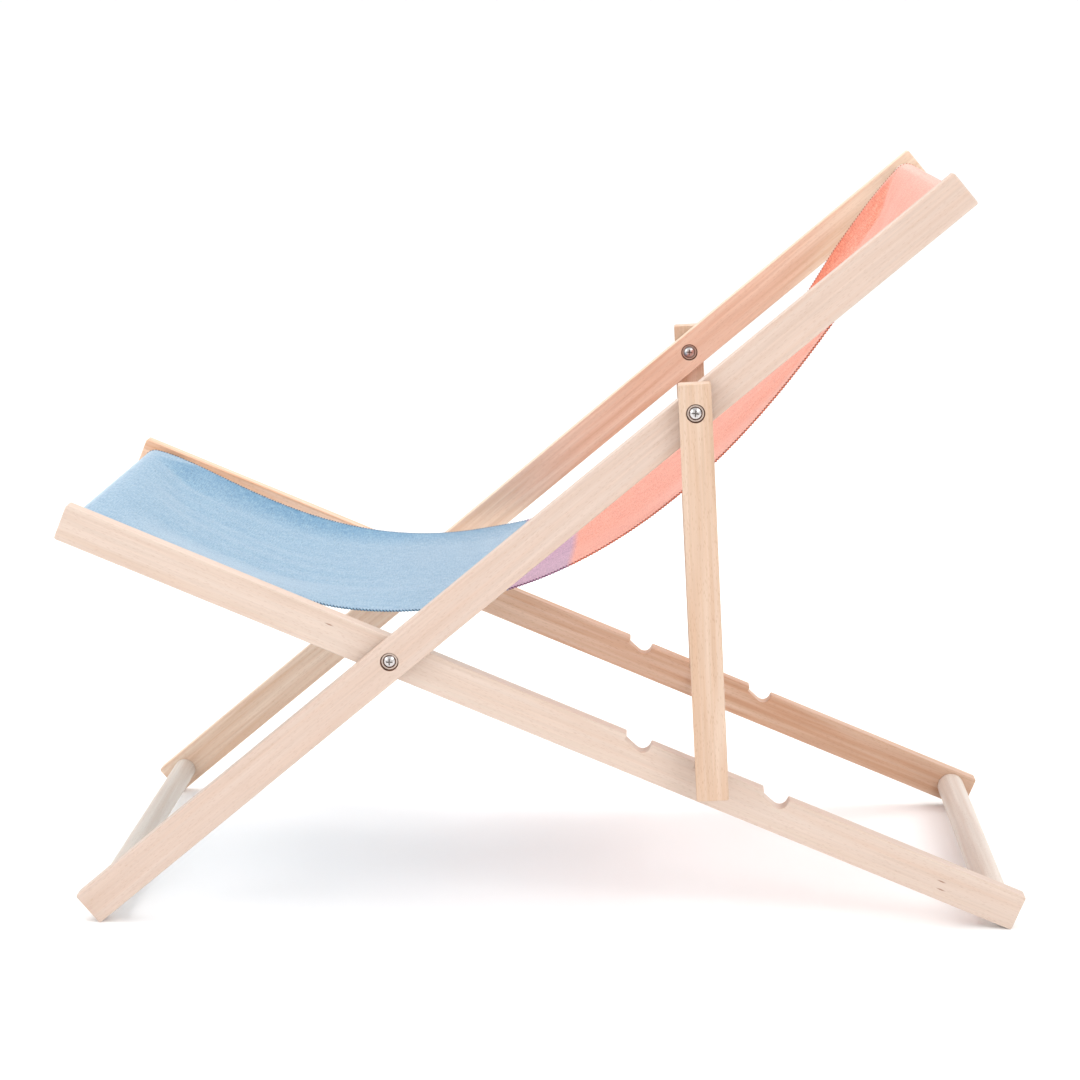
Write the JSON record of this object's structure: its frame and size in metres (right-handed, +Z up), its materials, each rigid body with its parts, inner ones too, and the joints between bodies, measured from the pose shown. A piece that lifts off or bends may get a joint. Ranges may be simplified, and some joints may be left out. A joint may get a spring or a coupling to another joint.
{
  "type": "folding deck chair",
  "caption": "Folding deck chair with nested timber back, seat and prop frames on bolted pivots, a canvas sling hung between round bars, and notched seat rails that set the recline.",
  "frame": {"origin": "on the floor, under the middle of the chair's bounding box", "axes": "+X from the seat front to the rear, the longest side; +Y across the chair to the sitter's right, the shortest side; +Z up"},
  "size_m": [1.1198, 0.5852, 0.8703],
  "materials": {
    "beech": "clear oiled",
    "steel": "satin",
    "canvas_blue": "woven",
    "canvas_coral": "woven"
  },
  "bodies": {
    "back_frame": {"back_rail_left": "beech", "back_rail_right": "beech", "top_bar": "beech", "front_floor_bar": "beech", "sling_back": "canvas_coral", "pivot_bolt_left": "steel", "pivot_bolt_right": "steel", "pivot_nut_left": "steel", "pivot_nut_right": "steel", "pivot_head_washers": "steel", "pivot_spacers": "steel", "pivot_nut_washers": "steel", "prop_bolt_left": "steel", "prop_bolt_right": "steel", "prop_nut_left": "steel", "prop_nut_right": "steel", "prop_head_washers": "steel", "prop_spacers": "steel", "prop_nut_washers": "steel"},
    "seat_frame": {"seat_rail_left": "beech", "seat_rail_right": "beech", "front_bar": "beech", "rear_floor_bar": "beech", "sling_seat": "canvas_blue"},
    "prop_frame": {"prop_strut_left": "beech", "prop_strut_right": "beech", "prop_bar": "beech"}
  },
  "joints": [
    {"name": "fold", "type": "hinge", "parent": "back_frame", "child": "seat_frame", "pos_m": [-0.17414, 0, 0.31718], "axis": [0, -1, 0], "range_deg": [-5.6, 57]},
    {"name": "prop_swing", "type": "hinge", "parent": "back_frame", "child": "prop_frame", "pos_m": [0.17109, 0, 0.60893], "axis": [0, -1, 0], "range_deg": [-12.05, 122.56]}
  ],
  "couplings": [
    {"joint": "prop_swing", "follows": "fold", "ratio": 2.15}
  ]
}
